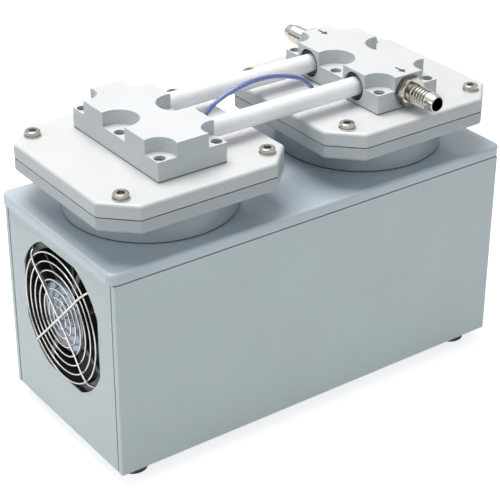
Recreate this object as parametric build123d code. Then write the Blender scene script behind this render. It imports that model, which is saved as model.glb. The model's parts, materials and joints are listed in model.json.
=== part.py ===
from build123d import *
from math import hypot, radians, sqrt, tan
import os

# A twin-head diaphragm vacuum pump: a double-shafted motor between two crankcases in a sheet-metal
# casing, each crankcase carrying a diaphragm, an octagonal head plate and a manifold block.
#
# Frame, in millimetres: X along the casing (fan end at -X), Y to the rear, Z up, with the origin on
# the floor under the middle of the casing.

os.makedirs("parts", exist_ok=True)

# ------------------------------------------------------------------ driving sizes: casing and feet
foot_h = 12.0  # clear height under the casing
foot_r = 12.5
foot_inset_x = 22.5  # foot's axis from the casing's end
foot_inset_y = 21.0  # foot's axis from the casing's side
foot_edge_r = 1.5
casing_h = 174.6  # from the casing's underside to the top plate
sheet = 1.5
cover_return = 5.0  # how far a cover wraps round the casing's ends
panel_gap = 1.5  # open joint between a cover's return and the end panel
panel_flange = 9.0  # depth of an end panel's folded edges
cover_lip = 8.0  # width of a cover's folded bottom edge
cover_seam = 1.1  # open joint between a cover and the top plate
base_t = 2.0
fold_r = 1.2  # outside radius of a folded edge

# ------------------------------------------------------------------ driving sizes: top plate
plate_t = 9.5
plate_overhang = 3.5  # past the casing's ends
plate_proud = 0.3  # past the casing's sides
plate_corner_r = 8.0
plate_edge_r = 3.0

# ------------------------------------------------------------------ driving sizes: pump heads
head_half = 87.2  # half the width across flats of the octagonal plates
head_chamfer = 24.8
corner_r = 2.5  # the octagon's upright corners
collar_r = 72.0
collar_h = 26.3
collar_edge = 1.2
flange_t = 11.7
joint_gap = 0.8  # open joint between flange and head plate
head_t = 11.9
head_edge_r = 3.2
flange_edge_r = 3.6
neck_r = 56.0  # the crankcase inside the casing
boss_l = 2.0  # boss between the motor and the neck
head_margin = 0.3  # from the octagon's flat to the casing's end
head_overhang = 1.2  # of the octagon's flat past the casing's side
case_wall = 8.0
bore_r = 64.0  # the diaphragm's free radius
well_depth = 29.0  # depth of the wide bore under the diaphragm
boss_r = 45.0  # boss that meets the motor
sump = 53.0  # from the shaft's axis to the crankcase's underside

# ------------------------------------------------------------------ driving sizes: crank mechanism
shaft_h = 105.0  # shaft's axis above the casing's underside
stroke = 5.0
shaft_r = 8.5  # at the bearings
stub_r = 7.0  # shaft's ends
journal_r = 12.5
journal_w = 13.0
rod_bearing_r = 23.5
rod_bearing_w = 12.0
rod_eye_r = 30.0
rod_t = 10.0
rod_w = 20.0
rod_top_w = 14.4
rod_boss_r = 7.5  # round the clamp screw's thread
weight_r = 40.0
weight_t = 10.0
diaphragm_r = 84.0
diaphragm_t = 2.0
clamp_r = 28.0
clamp_t = 2.5
rod_disc_t = 5.0
clamp_screw_r = 4.0
clamp_screw_head_r = 7.0
clamp_screw_l = 16.0
dome_clearance = 0.5  # between the clamp disc at the top of its stroke and the head plate
run_clearance = 0.05  # radial, between a journal and its bearing
slip = 0.1  # radial, between a screw or spigot and its hole

# ------------------------------------------------------------------ driving sizes: motor
motor_r = 60.0
motor_wall = 4.0
motor_half = 42.0
fin_h = 4.0
fin_t = 2.4
fin_count = 16
bell_t = 7.0
bell_spigot = 2.0
bearing_r = 17.5
bearing_w = 10.0
bell_boss_r = 24.0
bell_lip_r = 12.0
rotor_r = 31.6
rotor_inset = 12.0  # rotor's end from the end of the motor's housing
air_gap = 0.4
stator_inset = 10.0
winding_l = 6.0
winding_wall = 16.0
cradle_l = 70.0
cradle_w = 96.0
cradle_t = 6.0
cradle_foot_t = 4.0
capacitor_r = 17.5
capacitor_l = 68.0
capacitor_inset = 49.5  # capacitor's middle from the casing's end
capacitor_inset_y = 43.0  # its axis from the casing's side

# ------------------------------------------------------------------ driving sizes: manifold blocks
gasket_t = 1.0
block_x = 63.6
block_y = 126.2
block_h = 28.2
pocket_floor = 16.1  # pocket floors above the block's underside
pocket_x = 27.2  # pockets' half spacing
pocket_y = 57.9
block_screw_x = 26.0  # screws' half spacing
block_screw_y = 56.9
block_screw_clearance = 0.4  # round a screw's head
corner_pocket_r = 13.5
side_pocket_r = 17.0
block_screw_r = 2.5
block_screw_head_r = 4.3
block_screw_head_h = 5.0
block_screw_grip = 4.4  # thread in the head plate
head_sink = 2.4  # screw heads below the pocket floor
port_h = 13.8  # tube and port axes above the block's underside
tube_y = 30.7
tube_r = 8.0
tube_bore_r = 6.0
tube_insert = 14.0
gland_r = 12.4
gland_depth = 8.0
seal_clearance = 0.07
passage_r = 5.6
valve_r = 9.0
valve_t = 1.2
valve_lift = 2.0
valve_clearance = 0.4
valve_port_r = 4.5

# ------------------------------------------------------------------ driving sizes: screws
corner_screw_pitch = 67.1  # half spacing of the head plate's screws
washer_r = 7.1
washer_t = 1.2
m8_r = 4.0
m8_head_r = 6.3
m8_head_h = 3.7
m8_socket_af = 6.0
m8_socket_depth = 2.4
m8_grip = 8.5  # thread in the crankcase flange
m5_socket_af = 4.0
m5_socket_depth = 2.5
foot_screw_r = 2.5
foot_screw_head_r = 4.5
foot_screw_head_h = 3.0
foot_recess = 5.0
cover_screw_r = 1.5
cover_screw_head_r = 2.8
cover_screw_head_h = 1.8
cover_screw_pitch = 120.0

# ------------------------------------------------------------------ driving sizes: hose nozzles
nozzle_af = 23.0
nozzle_hex_t = 8.0
nozzle_hex_trim = 0.9
nozzle_neck_r = 7.6
nozzle_neck_l = 2.0
barb_r = 8.4
barb_land = 3.0
barb_ridges = 5
barb_pitch = 3.2
barb_step = 0.55  # each ridge above the next groove
barb_taper = 0.04  # each ridge under the one before
barb_crest = 0.9  # width of a ridge's top
nozzle_tip_r = 6.7
nozzle_tip_l = 8.0
nozzle_bore_r = 5.8
nozzle_thread_r = 8.2
nozzle_thread_l = 12.0
nozzle_recess_r = 14.1
nozzle_recess_depth = 1.5
nozzle_seal_r = 11.5
nozzle_seal_t = 1.0

# ------------------------------------------------------------------ driving sizes: balance hose
hose_r = 2.0
fitting_r = 4.5
fitting_h = 3.2
fitting_stem = 3.0  # into the head plate
spigot_r = 2.7

# ------------------------------------------------------------------ driving sizes: fan
fan_square = 119.0
fan_depth = 25.4
fan_hole_pitch = 105.0
fan_hole_r = 2.2
fan_bore_r = 57.5
fan_hub_r = 31.0
fan_hub_t = 4.0
fan_flange_t = 4.0
fan_wall = 1.8
fan_sleeve_l = 17.4
strut_turns = (28, 118)
strut_w = 5.0
rotor_hub_r = 30.0
rotor_wall = 2.5
blade_tip_gap = 1.2
blade_t = 1.4
blade_chord = 24.0
blade_pitch = 38.0
blade_count = 7
fan_pin_r = 1.5
fan_sleeve_r = 5.0
aperture_flat = 58.0
aperture_r = 63.4
guard_ring_r = 55.4
guard_ring_pitch = 7.64
guard_ring_count = 7
wire_r = 0.8
stay_r = 0.95
guard_proud = 1.15  # middle of the rings' wire in front of the end panel
eyelet_r = 4.2
stud_r = 2.0
nut_af = 7.0
nut_t = 3.2

# ------------------------------------------------------------------ driving sizes: right end
slot_l = 48.0
slot_w = 4.0
slot_pitch = 10.0
slot_count = 11
slot_row_z = (98.0, 154.0)  # heights of the two rows of air slots above the casing's underside
inlet_y = -36.0
inlet_z = 36.0  # above the casing's underside
inlet_w = 27.0
inlet_h = 19.5
inlet_wall = 2.0
inlet_depth = 24.0
inlet_cavity = 18.0
inlet_rim = 3.0
inlet_rim_t = 2.5
pin_w = 4.0
pin_t = 2.0
pin_l = 11.0
pin_pitch = 7.0
pin_rise = 2.0
switch_y = 8.0
switch_w = 21.0
switch_h = 13.6
switch_depth = 15.0
switch_rim = 2.2
switch_rim_t = 2.0
switch_wall = 1.5
rocker_gap = 0.4
rocker_tilt = 9.0  # each way
rocker_r = 14.0
rocker_dish = 2.4
rocker_rise = 6.3  # rocker's ends above its pivot
rocker_pivot_depth = 4.0  # pivot behind the panel's face
rocker_pin_r = 1.2

# ------------------------------------------------------------------ levels and places
bell_face = motor_half + bell_t
head_x = bell_face + boss_l + neck_r  # each head's axis from the middle
half_l = head_x + head_half + head_margin
casing_l = 2 * half_l
half_w = head_half - head_overhang
casing_w = 2 * half_w
rotor_half = motor_half - rotor_inset
stator_half = motor_half - stator_inset
capacitor_x = half_l - capacitor_inset
capacitor_y = half_w - capacitor_inset_y
z_case = foot_h
z_base = z_case + sheet
z_floor_in = z_base + base_t
z_plate = z_case + casing_h
z_deck = z_plate + plate_t
z_flange = z_deck + collar_h
z_seat = z_flange + flange_t
z_head = z_seat + joint_gap
z_top = z_head + head_t
z_block = z_top + gasket_t
z_pocket = z_block + pocket_floor
z_roof = z_block + block_h
z_mid = z_seat + joint_gap / 2
z_shaft = z_case + shaft_h
z_port = z_block + port_h
crank_r = stroke / 2
grip_recess = (diaphragm_t - joint_gap) / 2
dome_z = z_mid + crank_r + diaphragm_t / 2 + clamp_t + dome_clearance
panel_half = half_w - cover_return - panel_gap
fan_front = half_l - sheet - 2 * stay_r
fan_back = fan_front - fan_depth
face_x = block_x / 2
face_y = block_y / 2
suction_y = tube_y
exhaust_y = -tube_y

# The balance hose, left to right: out of one head's fitting, over the gap in a low arch, into the other.
hose_route = [
    (-57.6, 0, 251.5),
    (-53.0, 0, 257.9),
    (-41.5, 0, 267.6),
    (-14.0, 0, 275.8),
    (14.0, 0, 275.8),
    (41.5, 0, 267.6),
    (53.0, 0, 257.9),
    (57.6, 0, 251.5),
]

SIDES = (("left", -1), ("right", 1))
ENDS = (("front", -1), ("rear", 1))


# ------------------------------------------------------------------ helpers
def block(x0, x1, y0, y1, z0, z1):
    middle = Pos((x0 + x1) / 2, (y0 + y1) / 2, (z0 + z1) / 2)
    return middle * Box(abs(x1 - x0), abs(y1 - y0), abs(z1 - z0))


def cyl_x(r, x0, x1, y=0.0, z=0.0):
    return Pos((x0 + x1) / 2, y, z) * Rot(0, 90, 0) * Cylinder(r, abs(x1 - x0))


def cyl_y(r, y0, y1, x=0.0, z=0.0):
    return Pos(x, (y0 + y1) / 2, z) * Rot(90, 0, 0) * Cylinder(r, abs(y1 - y0))


def cyl_z(r, z0, z1, x=0.0, y=0.0):
    return Pos(x, y, (z0 + z1) / 2) * Cylinder(r, abs(z1 - z0))


def hex_prism(across_flats, z0, z1):
    """An upright hexagonal prism on the Z axis."""
    return Pos(0, 0, min(z0, z1)) * extrude(RegularPolygon(across_flats / sqrt(3), 6), abs(z1 - z0))


def turned(points):
    """A solid turned about Z from a closed outline of (radius, height) points."""
    outline = make_face(Plane.XZ * Polyline(*[(r, z) for r, z in points], close=True))
    return revolve(outline, Axis.Z)


def octagon(z0, z1, side):
    outline = chamfer(Rectangle(2 * head_half, 2 * head_half).vertices(), head_chamfer)
    outline = fillet(outline.vertices(), corner_r)
    return Pos(side * head_x, 0, z0) * extrude(outline, z1 - z0)


def top_edges(solid):
    return solid.faces().sort_by(Axis.Z)[-1].edges()


def bottom_edges(solid):
    return solid.faces().sort_by(Axis.Z)[0].edges()


def corners(half_x, half_y):
    return [(x, y) for x in (-half_x, half_x) for y in (-half_y, half_y)]


def lift(side):
    """The left crank stands at the top of its stroke and the right one at the bottom."""
    return -side * crank_r


def save(name, *solids):
    shape = solids[0] if len(solids) == 1 else Compound(children=[s.solid() for s in solids])
    shape.label = name
    export_step(shape, f"parts/{name}.step")


# ------------------------------------------------------------------ casing
def base_plate():
    plate = block(-half_l + sheet, half_l - sheet, -half_w + sheet, half_w - sheet, z_base, z_floor_in)
    notch_x = half_l - panel_flange - slip
    notch_y = panel_half - sheet - slip
    for sx in (-1, 1):
        for sy in (-1, 1):
            plate -= block(sx * notch_x, sx * half_l, sy * notch_y, sy * half_w, z_base, z_floor_in)
    for x, y in foot_places():
        plate -= cyl_z(foot_screw_r + slip, z_base, z_floor_in, x, y)
    for x, y in cover_screw_places():
        plate -= cyl_z(cover_screw_r + slip, z_base, z_floor_in, x, y)
    return plate


def cover(sy):
    """A folded cover: the side wall, a return round each end and a lip under the base."""
    top = z_plate - cover_seam
    outer = block(-half_l, half_l, sy * (half_w - cover_return), sy * half_w, z_case, top)
    upright = outer.edges().filter_by(Axis.Z).group_by(Axis.Y)[0 if sy < 0 else -1]
    outer = fillet(upright, fold_r)
    inside = half_w - sheet
    shell = outer - block(-half_l + sheet, half_l - sheet, 0, sy * inside, z_case, top)
    reach = half_l - panel_flange - slip
    lip = block(-reach, reach, sy * (half_w - cover_lip), sy * inside, z_case, z_base)
    shell += lip
    for x, y in cover_screw_places():
        if y * sy > 0:
            shell -= cyl_z(cover_screw_r + slip, z_case, z_base, x, y)
    return shell


def end_tray(side):
    """An end panel before its openings are cut: a flat sheet with all four edges folded inwards."""
    outer = block(side * (half_l - panel_flange), side * half_l, -panel_half, panel_half, z_case, z_plate)
    hollow = block(
        side * (half_l - panel_flange),
        side * (half_l - sheet),
        -panel_half + sheet,
        panel_half - sheet,
        z_base,
        z_plate - sheet,
    )
    return outer - hollow


def aperture():
    """The fan's opening: a circle trimmed by four flats."""
    inner = -half_l + sheet
    low = z_shaft - aperture_flat
    high = z_shaft + aperture_flat
    square = block(-half_l, inner, -aperture_flat, aperture_flat, low, high)
    return cyl_x(aperture_r, -half_l, inner, 0, z_shaft) & square


def left_end_panel():
    return end_tray(-1) - aperture()


def right_end_panel():
    panel = end_tray(1)
    first = -(slot_count - 1) / 2 * slot_pitch
    inner = Plane.YZ.offset(half_l - sheet)
    for height in slot_row_z:
        for i in range(slot_count):
            slot = Rot(0, 0, 90) * SlotOverall(slot_l, slot_w)
            panel -= extrude(inner * Pos(first + i * slot_pitch, z_case + height) * slot, sheet)
    z = z_case + inlet_z
    panel -= block(
        half_l - sheet, half_l,
        inlet_y - inlet_w / 2 - slip, inlet_y + inlet_w / 2 + slip,
        z - inlet_h / 2 - slip, z + inlet_h / 2 + slip,
    )
    panel -= block(
        half_l - sheet, half_l,
        switch_y - switch_w / 2 - slip, switch_y + switch_w / 2 + slip,
        z - switch_h / 2 - slip, z + switch_h / 2 + slip,
    )
    return panel


def top_plate():
    outline = fillet(
        Rectangle(casing_l + 2 * plate_overhang, casing_w + 2 * plate_proud).vertices(), plate_corner_r
    )
    plate = Pos(0, 0, z_plate) * extrude(outline, plate_t)
    plate = fillet(top_edges(plate), plate_edge_r)
    for _, side in SIDES:
        plate -= cyl_z(neck_r + slip, z_plate, z_deck, side * head_x, 0)
    return plate


def foot_places():
    return corners(half_l - foot_inset_x, half_w - foot_inset_y)


def foot(x, y):
    body = Pos(x, y, z_base / 2) * Cylinder(foot_r, z_base)
    body = fillet(bottom_edges(body), foot_edge_r)
    body -= cyl_z(foot_screw_head_r + 1, 0, foot_recess, x, y)
    return body - cyl_z(foot_screw_r + slip, foot_recess, z_base, x, y)


def foot_screw(x, y):
    head = cyl_z(foot_screw_head_r, foot_recess - foot_screw_head_h, foot_recess, x, y)
    return head + cyl_z(foot_screw_r, foot_recess, z_floor_in + nut_t, x, y)


def foot_nut(x, y):
    nut = Pos(x, y, 0) * hex_prism(nut_af + 1, z_floor_in, z_floor_in + nut_t)
    return nut - cyl_z(foot_screw_r, z_floor_in, z_floor_in + nut_t, x, y)


def cover_screw_places():
    y = half_w - cover_lip / 2
    return [(x, sy * y) for sy in (-1, 1) for x in (-cover_screw_pitch, 0, cover_screw_pitch)]


def cover_screw(x, y):
    head = cyl_z(cover_screw_head_r, z_case - cover_screw_head_h, z_case, x, y)
    head = chamfer(bottom_edges(head), 0.6)
    return head + cyl_z(cover_screw_r, z_case, z_floor_in + 2, x, y)


# ------------------------------------------------------------------ pump heads
def crankcase(side):
    """Octagonal flange, round collar on the deck, and the neck that reaches down to the motor's axis."""
    x = side * head_x
    bottom = z_shaft - sump
    flange = octagon(z_flange, z_seat, side)
    flange = fillet(bottom_edges(flange), flange_edge_r)
    collar = cyl_z(collar_r, z_deck, z_flange + flange_edge_r, x)
    collar = chamfer(bottom_edges(collar), collar_edge)
    body = flange + collar + cyl_z(neck_r, bottom, z_deck, x)
    body += cyl_x(boss_r, side * bell_face, x, 0, z_shaft)
    inner = neck_r - case_wall
    body -= cyl_z(inner, bottom + case_wall, z_seat - well_depth, x)
    body -= cyl_z(bore_r, z_seat - well_depth, z_seat, x)
    body -= cyl_z(diaphragm_r + slip, z_seat - grip_recess, z_seat, x)
    body -= cyl_x(bell_lip_r + 2, side * bell_face, x, 0, z_shaft)
    for dx, dy in corners(corner_screw_pitch, corner_screw_pitch):
        body -= cyl_z(m8_r, z_seat - m8_grip - 1, z_seat, x + dx, dy)
    return body


def head_plate(side):
    """The octagonal plate over the diaphragm, hollowed into a shallow dome with two valve ports."""
    x = side * head_x
    plate = octagon(z_head, z_top, side)
    plate = fillet(top_edges(plate), head_edge_r)
    dome_r = clamp_r + crank_r + 2.5
    dome = turned([
        (0, z_head), (bore_r, z_head), (bore_r, z_head + grip_recess), (dome_r, dome_z), (0, dome_z),
    ])
    plate -= Pos(x, 0, 0) * dome
    plate -= cyl_z(diaphragm_r + slip, z_head, z_head + grip_recess, x)
    for sy in (-1, 1):
        plate -= cyl_z(valve_port_r, dome_z, z_top, x, sy * tube_y)
    plate -= cyl_z(valve_r + valve_clearance, z_top - valve_t - valve_lift, z_top, x, suction_y)
    for dx, dy in corners(corner_screw_pitch, corner_screw_pitch):
        plate -= cyl_z(m8_r + slip, z_head, z_top, x + dx, dy)
    for dx, dy in block_screw_places():
        plate -= cyl_z(block_screw_r, z_top - block_screw_grip, z_top, x + dx, dy)
    return plate - cyl_z(fitting_r / 2, dome_z, z_top, fitting_seat(side)[0].X)


def block_screw_places():
    return corners(block_screw_x, block_screw_y) + [(-block_screw_x, 0), (block_screw_x, 0)]


def pocket_places():
    return corners(pocket_x, pocket_y) + [(-pocket_x, 0), (pocket_x, 0)]


def manifold_gasket(side):
    x = side * head_x
    gasket = Pos(x, 0, z_top) * extrude(Rectangle(block_x - 0.6, block_y - 0.6), gasket_t)
    for dx, dy in block_screw_places():
        gasket -= cyl_z(block_screw_r + slip, z_top, z_block, x + dx, dy)
    gasket -= cyl_z(valve_port_r, z_top, z_block, x, suction_y)
    gasket -= cyl_z(valve_r + valve_clearance, z_top, z_block, x, exhaust_y)
    return gasket


def manifold(side):
    """The block on a head: six screw pockets, two tube glands and, on the right, two nozzle ports."""
    x = side * head_x
    body = Pos(x, 0, z_block) * extrude(fillet(Rectangle(block_x, block_y).vertices(), 0.8), block_h)
    for dx, dy in pocket_places():
        radius = corner_pocket_r if dy else side_pocket_r
        body -= cyl_z(radius, z_pocket, z_roof, x + dx, dy)
    under = z_pocket - head_sink - block_screw_head_h
    for dx, dy in block_screw_places():
        body -= cyl_z(block_screw_head_r + block_screw_clearance, under, z_pocket, x + dx, dy)
        body -= cyl_z(block_screw_r + slip, z_block, under, x + dx, dy)
    inner_face = x - side * face_x
    for sy in (-1, 1):
        y = sy * tube_y
        body -= cyl_x(gland_r, inner_face, inner_face + side * gland_depth, y, z_port)
        body -= cyl_x(tube_r + slip, inner_face, inner_face + side * tube_insert, y, z_port)
        body -= cyl_x(passage_r, inner_face, x, y, z_port)
        body -= cyl_z(passage_r, z_block, z_port, x, y)
        body -= Pos(x, y, z_port) * Sphere(passage_r)
        if side > 0:
            face = sy * face_y
            body -= cyl_y(nozzle_recess_r, face, face - sy * nozzle_recess_depth, x, z_port)
            body -= cyl_y(nozzle_thread_r + slip, face, face - sy * (nozzle_thread_l + 3), x, z_port)
            body -= cyl_y(passage_r, face, y, x, z_port)
    body -= cyl_z(valve_r + valve_clearance, z_block, z_block + valve_lift, x, exhaust_y)
    return body


def valve_flap(x, y, z0):
    flap = cyl_z(valve_r, z0, z0 + valve_t, x, y)
    return flap - cyl_z(1.2, z0, z0 + valve_t, x + valve_r - 2.5, y)


def valve_flaps(side):
    """The exhaust flap lies on the head plate; the suction flap closes upwards against the gasket."""
    x = side * head_x
    return valve_flap(x, exhaust_y, z_top), valve_flap(x, suction_y, z_top - valve_t)


def diaphragm(side):
    x = side * head_x
    rise = lift(side)
    half = diaphragm_t / 2
    hole = clamp_screw_r + slip
    flat = bore_r - 2
    outline = [
        (hole, rise - half), (clamp_r, rise - half), (flat, -half), (diaphragm_r, -half),
        (diaphragm_r, half), (flat, half), (clamp_r, rise + half), (hole, rise + half),
    ]
    return Pos(x, 0, z_mid) * turned(outline)


def clamp_disc(side):
    """Clamp disc over the diaphragm, countersunk for its screw."""
    z = z_mid + lift(side) + diaphragm_t / 2
    disc = turned([
        (clamp_screw_r, 0), (clamp_r, 0), (clamp_r, clamp_t - 1), (clamp_r - 1, clamp_t),
        (clamp_screw_head_r, clamp_t),
    ])
    return Pos(side * head_x, 0, z) * disc


def clamp_screw(side):
    z = z_mid + lift(side) + diaphragm_t / 2
    screw = turned([
        (0, -clamp_screw_l), (clamp_screw_r, -clamp_screw_l), (clamp_screw_r, 0),
        (clamp_screw_head_r, clamp_t), (0, clamp_t),
    ])
    screw -= hex_prism(5, clamp_t - 1.5, clamp_t)
    return Pos(side * head_x, 0, z) * screw


def connecting_rod(side):
    """Big end, shank and the disc that carries the diaphragm."""
    x = side * head_x
    z_eye = z_shaft + lift(side)
    z_disc = z_mid + lift(side) - diaphragm_t / 2
    half_w_eye = rod_bearing_w / 2
    z_under = z_disc - rod_disc_t
    rod = cyl_x(rod_eye_r, x - half_w_eye, x + half_w_eye, 0, z_eye)
    shank = Polyline(
        (-rod_w / 2, z_eye), (-rod_top_w / 2, z_under), (rod_top_w / 2, z_under), (rod_w / 2, z_eye),
        close=True,
    )
    web = make_face(Plane.YZ.offset(x - rod_t / 2) * shank)
    rod += extrude(web, rod_t, dir=(1, 0, 0))
    rod += cyl_z(clamp_r, z_under, z_disc, x)
    rod += cyl_z(rod_boss_r, z_disc - clamp_screw_l - 1, z_under, x)
    rod -= cyl_x(rod_bearing_r, x - half_w_eye, x + half_w_eye, 0, z_eye)
    return rod - cyl_z(clamp_screw_r, z_disc - clamp_screw_l + diaphragm_t, z_disc, x)


def ring_x(outer, inner, x0, x1, z):
    return cyl_x(outer, x0, x1, 0, z) - cyl_x(inner, x0, x1, 0, z)


def rod_bearing(side):
    x = side * head_x
    half = rod_bearing_w / 2
    return ring_x(rod_bearing_r, journal_r + run_clearance, x - half, x + half, z_shaft + lift(side))


def eccentric(side):
    """Journal set off the shaft's axis, with its counterweight on the motor's side."""
    x = side * head_x
    inner = x - side * journal_w / 2
    journal = cyl_x(journal_r, inner, x + side * journal_w / 2, 0, z_shaft + lift(side))
    disc = cyl_x(weight_r, inner - side * weight_t, inner, 0, z_shaft)
    away = z_shaft + weight_r if lift(side) < 0 else z_shaft - weight_r
    half_disc = disc & block(inner - side * weight_t, inner, -weight_r, weight_r, z_shaft, away)
    hub = cyl_x(journal_r + crank_r, inner - side * weight_t, inner, 0, z_shaft)
    body = journal + half_disc + hub
    return body - cyl_x(stub_r, inner - side * weight_t, x + side * journal_w / 2, 0, z_shaft)


# ------------------------------------------------------------------ screws, seals and tubes
def socket_screw(x, y, z_under, head_r, head_h, shank_r, shank_l, socket_af, socket_depth):
    """A hexagon socket screw, its head's underside at z_under."""
    head = chamfer(top_edges(Cylinder(head_r, head_h)), 0.5)
    head = Pos(0, 0, head_h / 2) * head
    screw = head + Pos(0, 0, -shank_l / 2) * Cylinder(shank_r, shank_l)
    screw -= hex_prism(socket_af, head_h - socket_depth, head_h)
    return Pos(x, y, z_under) * screw


def head_screws(side):
    under = z_top + washer_t
    grip = washer_t + head_t + joint_gap + m8_grip
    return [
        socket_screw(
            side * head_x + dx, dy, under, m8_head_r, m8_head_h, m8_r, grip, m8_socket_af, m8_socket_depth,
        )
        for dx, dy in corners(corner_screw_pitch, corner_screw_pitch)
    ]


def head_washers(side):
    rings = []
    for dx, dy in corners(corner_screw_pitch, corner_screw_pitch):
        x = side * head_x + dx
        ring = cyl_z(washer_r, z_top, z_top + washer_t, x, dy)
        rings.append(ring - cyl_z(m8_r + slip, z_top, z_top + washer_t, x, dy))
    return rings


def manifold_screws(side):
    under = z_pocket - head_sink - block_screw_head_h
    length = under - z_top + block_screw_grip
    return [
        socket_screw(
            side * head_x + dx, dy, under, block_screw_head_r, block_screw_head_h, block_screw_r, length,
            m5_socket_af, m5_socket_depth,
        )
        for dx, dy in block_screw_places()
    ]


def connecting_tube(sy):
    reach = head_x - face_x + tube_insert
    tube = cyl_x(tube_r, -reach, reach, sy * tube_y, z_port)
    return tube - cyl_x(tube_bore_r, -reach, reach, sy * tube_y, z_port)


def tube_seals():
    """An O-ring in each gland, just inside its mouth."""
    minor = (gland_r - tube_r) / 2 - seal_clearance
    major = (gland_r + tube_r) / 2
    x = head_x - face_x + minor + 1.6
    return [
        Pos(side * x, sy * tube_y, z_port) * Rot(0, 90, 0) * Torus(major, minor)
        for side in (-1, 1)
        for sy in (-1, 1)
    ]


def hose_nozzle(sy):
    """Turned nozzle: thread, hexagon, neck, a plain land, then ridges and a tapered tip."""
    base = nozzle_seal_t
    shoulder = base + nozzle_hex_t
    start = shoulder + nozzle_neck_l
    outline = [
        (nozzle_bore_r, -nozzle_thread_l), (nozzle_thread_r, -nozzle_thread_l), (nozzle_thread_r, shoulder),
        (nozzle_neck_r, shoulder), (nozzle_neck_r, start), (barb_r, start), (barb_r, start + barb_land),
    ]
    z = start + barb_land
    radius = barb_r
    for _ in range(barb_ridges):
        outline.append((radius - barb_step - barb_taper, z))
        z += barb_pitch
        radius -= barb_taper
        outline.append((radius, z - barb_crest))
        outline.append((radius, z))
    outline += [(nozzle_tip_r, z + nozzle_tip_l), (nozzle_bore_r, z + nozzle_tip_l)]
    body = turned(outline)
    nut = hex_prism(nozzle_af, base, shoulder)
    crown = nozzle_af / sqrt(3)
    trim_t = nozzle_hex_trim
    trim = turned([
        (0, base), (crown - trim_t, base), (crown, base + trim_t), (crown, shoulder - trim_t),
        (crown - trim_t, shoulder), (0, shoulder),
    ])
    body += (nut & trim) - cyl_z(nozzle_thread_r - 1, base, shoulder)
    seat = face_y - nozzle_recess_depth
    return Pos(head_x, sy * seat, z_port) * Rot(-90 * sy, 0, 0) * body


def nozzle_seal(sy):
    seat = sy * (face_y - nozzle_recess_depth)
    out = seat + sy * nozzle_seal_t
    ring = cyl_y(nozzle_seal_r, seat, out, head_x, z_port)
    return ring - cyl_y(nozzle_thread_r + slip, seat, out, head_x, z_port)


# ------------------------------------------------------------------ balance hose
def bend_radii(points):
    """For each corner, 0.45 of the shorter run over the tangent of half the turn."""
    radii = []
    for a, b, c in zip(points, points[1:], points[2:]):
        before = Vector(*b) - Vector(*a)
        after = Vector(*c) - Vector(*b)
        half_turn = radians(before.get_angle(after) / 2)
        radii.append(0.45 * min(before.length, after.length) / tan(half_turn))
    return radii


def balance_hose():
    radii = bend_radii(hose_route)
    path = FilletPolyline(*hose_route, radius=radii)
    start = Plane(origin=hose_route[0], z_dir=path % 0)
    tube = sweep(start * Circle(hose_r), path=path)
    print("hose bend radii, mm:", [round(r, 1) for r in radii])
    print("hose length, mm:", round(path.length, 1))
    straight = Circle(hose_r).area * path.length
    print("hose volume over section times length:", round(tube.volume / straight, 4))
    return tube


def fitting_seat(side):
    """Middle of a fitting's body, back along the hose's end run, with the way and length of its spigot."""
    end = Vector(*hose_route[0 if side < 0 else -1])
    beyond = Vector(*hose_route[1 if side < 0 else -2])
    way = (beyond - end).normalized()
    reach = (end.Z - z_top - fitting_h / 2) / way.Z
    return end - way * reach, way, reach


def hose_fitting(side):
    """A low round body on the head plate, with a spigot leaning the way the hose leaves."""
    seat, way, reach = fitting_seat(side)
    body = chamfer(top_edges(cyl_z(fitting_r, z_top, z_top + fitting_h, seat.X)), 0.6)
    spigot = Plane(origin=seat, z_dir=way) * extrude(Circle(spigot_r), reach)
    return body + spigot + cyl_z(fitting_r / 2, z_top - fitting_stem, z_top, seat.X)


# ------------------------------------------------------------------ motor
def motor_housing():
    body = ring_x(motor_r, motor_r - motor_wall, -motor_half, motor_half, z_shaft)
    for i in range(fin_count):
        fin = block(-motor_half, motor_half, -fin_t / 2, fin_t / 2, motor_r - 1, motor_r + fin_h)
        body += Pos(0, 0, z_shaft) * Rot((i + 0.5) * 360 / fin_count, 0, 0) * fin
    return body


def motor_bell(side):
    inner = motor_half - bell_spigot
    back = bell_face - bearing_w
    boss_end = back - bell_spigot
    bell = cyl_x(motor_r, side * motor_half, side * bell_face, 0, z_shaft)
    bell += cyl_x(motor_r - motor_wall, side * inner, side * motor_half, 0, z_shaft)
    bell += cyl_x(bell_boss_r, side * boss_end, side * inner, 0, z_shaft)
    bell -= cyl_x(bearing_r, side * back, side * bell_face, 0, z_shaft)
    return bell - cyl_x(bell_lip_r, side * boss_end, side * back, 0, z_shaft)


def shaft_bearing(side):
    back = bell_face - bearing_w
    return ring_x(bearing_r, shaft_r + run_clearance, side * back, side * bell_face, z_shaft)


def motor_shaft():
    reach = head_x + journal_w / 2
    shaft = cyl_x(stub_r, -reach, reach, 0, z_shaft)
    return shaft + cyl_x(shaft_r, -bell_face, bell_face, 0, z_shaft)


def motor_rotor():
    return ring_x(rotor_r, shaft_r, -rotor_half, rotor_half, z_shaft)


def stator_core():
    return ring_x(motor_r - motor_wall, rotor_r + air_gap, -stator_half, stator_half, z_shaft)


def stator_winding(side):
    inner = rotor_r + air_gap + 2
    end = side * (stator_half + winding_l)
    return ring_x(inner + winding_wall, inner, side * stator_half, end, z_shaft)


def motor_cradle():
    """Two saddles under the motor on one foot plate."""
    half = cradle_l / 2
    body = block(-half, half, -cradle_w / 2, cradle_w / 2, z_floor_in, z_floor_in + cradle_foot_t)
    for side in (-1, 1):
        outer = side * half
        inner = outer - side * cradle_t
        body += block(inner, outer, -cradle_w / 2, cradle_w / 2, z_floor_in, z_shaft - motor_r / 2)
    return body - cyl_x(hypot(motor_r + fin_h, fin_t / 2), -half, half, 0, z_shaft)


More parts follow.
